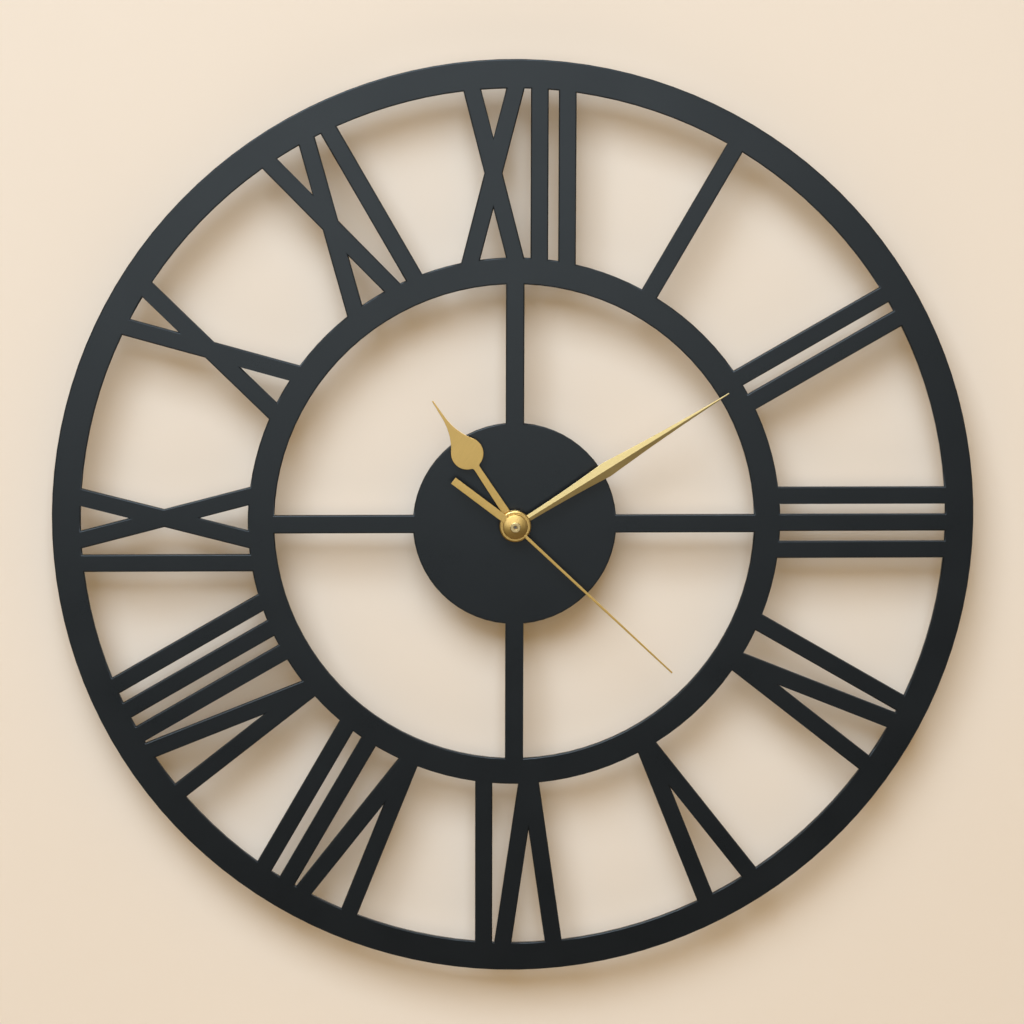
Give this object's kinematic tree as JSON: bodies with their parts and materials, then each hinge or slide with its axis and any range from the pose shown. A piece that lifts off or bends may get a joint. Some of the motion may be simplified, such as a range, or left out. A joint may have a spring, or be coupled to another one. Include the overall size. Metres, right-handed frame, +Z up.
{
  "type": "wall clock",
  "caption": "Open round wall clock: black cut-out plate with Roman numerals on a rim, ring and spokes, gold hour, minute and second hands, and a geared quartz movement hung by an eye.",
  "frame": {"origin": "centre of the hanging eye, on the wall plane", "axes": "+Z up, +Y into the wall, +X to the viewer's right; the dial faces -Y"},
  "size_m": [0.3999, 0.031, 0.4],
  "materials": {
    "black_coat": "satin black powder coat",
    "satin_brass": "satin brass",
    "bright_brass": "turned brass",
    "black_rubber": "moulded rubber",
    "zinc_steel": "zinc-plated steel",
    "black_plastic": "fine-textured black plastic",
    "natural_plastic": "natural white plastic",
    "gear_plastic": "moulded white plastic",
    "knob_plastic": "moulded pale plastic",
    "cell_wrap": "plain film-wrapped cell",
    "nickel_plate": "nickel-plated spring steel",
    "board_laminate": "brown laminate",
    "chip_resin": "black resin",
    "crystal_can": "drawn metal can",
    "core_steel": "annealed steel",
    "copper_wire": "enamelled copper wire",
    "magnet_grey": "sintered magnet"
  },
  "bodies": {
    "clock": {"dial_plate": "black_coat", "threaded_bush": "bright_brass", "fixing_nut": "bright_brass", "nut_washer": "bright_brass", "rubber_gasket": "black_rubber", "hanger_bracket": "zinc_steel", "rear_case": "black_plastic", "middle_plate": "natural_plastic", "front_cover": "black_plastic", "aa_cell": "cell_wrap", "positive_contact": "nickel_plate", "negative_contact": "nickel_plate", "circuit_board": "board_laminate", "clock_chip": "chip_resin", "quartz_crystal": "crystal_can", "stator_plate": "core_steel", "coil_core": "core_steel", "coil_bobbin": "natural_plastic", "coil_winding": "copper_wire"},
    "second": {"second_hand": "satin_brass", "second_shaft": "core_steel", "second_wheel": "gear_plastic"},
    "minute": {"minute_hand": "satin_brass", "minute_pipe": "core_steel", "centre_wheel": "gear_plastic"},
    "hour": {"hour_hand": "satin_brass", "hour_wheel": "gear_plastic"},
    "rotor": {"rotor_magnet": "magnet_grey", "rotor_pinion": "gear_plastic"},
    "intermediate": {"intermediate_wheel": "gear_plastic"},
    "third": {"third_wheel": "gear_plastic"},
    "setting": {"minute_wheel": "gear_plastic", "setting_knob": "knob_plastic"}
  },
  "joints": [
    {"name": "second_hand_spin", "type": "hinge", "parent": "clock", "child": "second", "pos_m": [0, 0, -0.0351], "axis": [0, 1, 0], "continuous": true},
    {"name": "minute_hand_spin", "type": "hinge", "parent": "clock", "child": "minute", "pos_m": [0, 0, -0.0351], "axis": [0, 1, 0], "continuous": true},
    {"name": "hour_hand_spin", "type": "hinge", "parent": "clock", "child": "hour", "pos_m": [0, 0, -0.0351], "axis": [0, 1, 0], "continuous": true},
    {"name": "intermediate_wheel_spin", "type": "hinge", "parent": "clock", "child": "intermediate", "pos_m": [0, 0, -0.02805], "axis": [0, 1, 0], "continuous": true},
    {"name": "rotor_spin", "type": "hinge", "parent": "clock", "child": "rotor", "pos_m": [0, 0, -0.0215], "axis": [0, 1, 0], "continuous": true},
    {"name": "third_wheel_spin", "type": "hinge", "parent": "clock", "child": "third", "pos_m": [-0.01, 0, -0.0351], "axis": [0, 1, 0], "continuous": true},
    {"name": "setting_knob_spin", "type": "hinge", "parent": "clock", "child": "setting", "pos_m": [0.0104, 0, -0.0351], "axis": [0, 1, 0], "continuous": true}
  ],
  "couplings": [
    {"joint": "minute_hand_spin", "follows": "second_hand_spin", "ratio": 0.016667},
    {"joint": "hour_hand_spin", "follows": "second_hand_spin", "ratio": 0.0013889},
    {"joint": "intermediate_wheel_spin", "follows": "second_hand_spin", "ratio": -5},
    {"joint": "rotor_spin", "follows": "second_hand_spin", "ratio": 30},
    {"joint": "third_wheel_spin", "follows": "second_hand_spin", "ratio": -0.13333},
    {"joint": "setting_knob_spin", "follows": "second_hand_spin", "ratio": -0.0055556}
  ]
}
